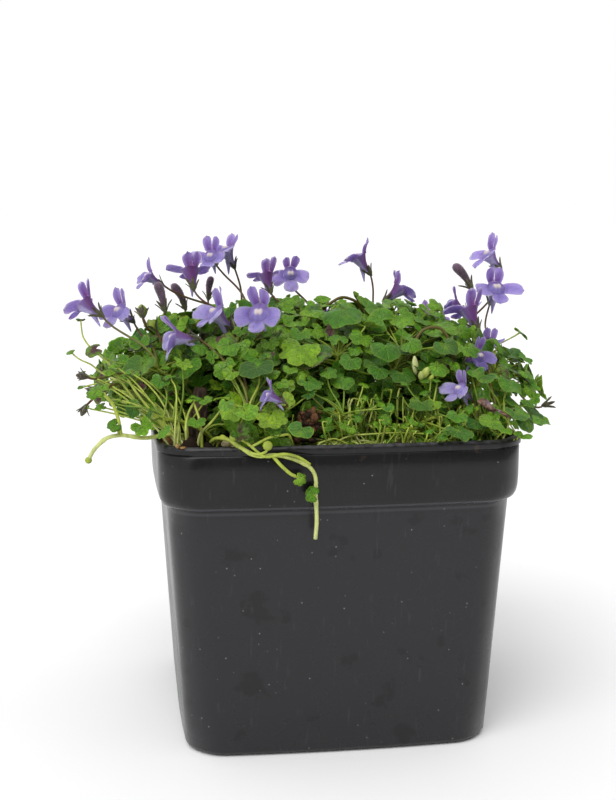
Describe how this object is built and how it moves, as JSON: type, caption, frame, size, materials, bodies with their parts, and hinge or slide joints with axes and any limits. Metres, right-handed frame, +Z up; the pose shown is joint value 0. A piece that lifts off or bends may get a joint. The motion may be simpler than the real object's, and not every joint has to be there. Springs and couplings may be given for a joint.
{
  "type": "potted ivy-leaved toadflax",
  "caption": "Square black nursery pot of ivy-leaved toadflax: a mound of small lobed green leaves with violet two-lipped flowers on thin stalks and trailing runners.",
  "frame": {"origin": "middle of the flat underside of the pot", "axes": "+Z up; -Y is the side seen in the picture, with the trailing front runner; +X to its right"},
  "size_m": [0.1321, 0.1162, 0.1294],
  "materials": {
    "pot_plastic": "satin",
    "soil": "matte",
    "leaf": "satin",
    "petal": "matte",
    "bud": "matte",
    "runner": "satin",
    "bark": "matte"
  },
  "bodies": {
    "root": {"pot": "pot_plastic", "soil": "soil", "leafy_stem_01": "leaf", "leafy_stem_02": "leaf", "leafy_stem_03": "leaf", "leafy_stem_04": "leaf", "leafy_stem_05": "leaf", "leafy_stem_06": "leaf", "leafy_stem_07": "leaf", "leafy_stem_08": "leaf", "leafy_stem_09": "leaf", "leafy_stem_10": "leaf", "leafy_stem_11": "leaf", "leafy_stem_12": "leaf", "leafy_stem_13": "leaf", "leafy_stem_14": "leaf", "leafy_stem_15": "leaf", "leafy_stem_16": "leaf", "leafy_stem_17": "leaf", "leafy_stem_18": "leaf", "leafy_stem_19": "leaf", "leafy_stem_20": "leaf", "leafy_stem_21": "leaf", "leafy_stem_22": "leaf", "leafy_stem_23": "leaf", "leafy_stem_24": "leaf", "leafy_stem_25": "leaf", "bloom_01": "petal", "bloom_02": "petal", "bloom_03": "petal", "bloom_04": "petal", "bloom_05": "petal", "bloom_06": "petal", "bloom_07": "petal", "bloom_08": "petal", "bloom_09": "petal", "bloom_10": "petal", "bloom_11": "petal", "bloom_12": "petal", "bloom_13": "petal", "bloom_14": "petal", "bloom_15": "petal", "bloom_16": "petal", "bloom_17": "petal", "bloom_18": "petal", "bloom_19": "petal", "bloom_20": "petal", "bloom_21": "petal", "bloom_22": "petal", "bloom_23": "petal", "bloom_24": "petal", "bud_01": "bud", "bud_02": "bud", "bud_03": "bud", "bud_04": "bud", "bud_05": "bud", "front_runner": "runner", "left_runner": "runner", "bark_chip": "bark"}
  },
  "joints": []
}
